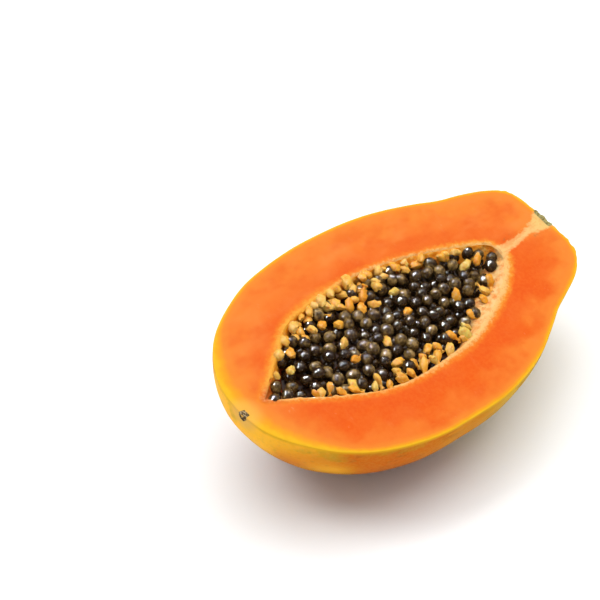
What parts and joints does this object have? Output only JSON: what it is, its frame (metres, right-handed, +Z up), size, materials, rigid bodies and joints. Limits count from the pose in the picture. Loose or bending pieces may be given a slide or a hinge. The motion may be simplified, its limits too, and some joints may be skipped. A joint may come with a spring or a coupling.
{
  "type": "papaya half",
  "caption": "Half of a ripe papaya, cut lengthwise and lying on its skin, with the seeds still packed in its hollow; a food prop for tables, trays and bowls.",
  "frame": {"origin": "centre of the bounding box in plan, at the surface that the fruit lies on", "axes": "+X from the blossom end to the stem end, +Y across the fruit away from the low edge of its cut face, +Z up"},
  "size_m": [0.1924, 0.1176, 0.0707],
  "materials": {
    "flesh": "satin",
    "skin": "satin",
    "black_seed": "gloss",
    "pale_seed": "satin"
  },
  "bodies": {
    "root": {"papaya_half": "flesh", "black_seeds": "black_seed", "pale_seeds": "pale_seed"}
  },
  "joints": []
}
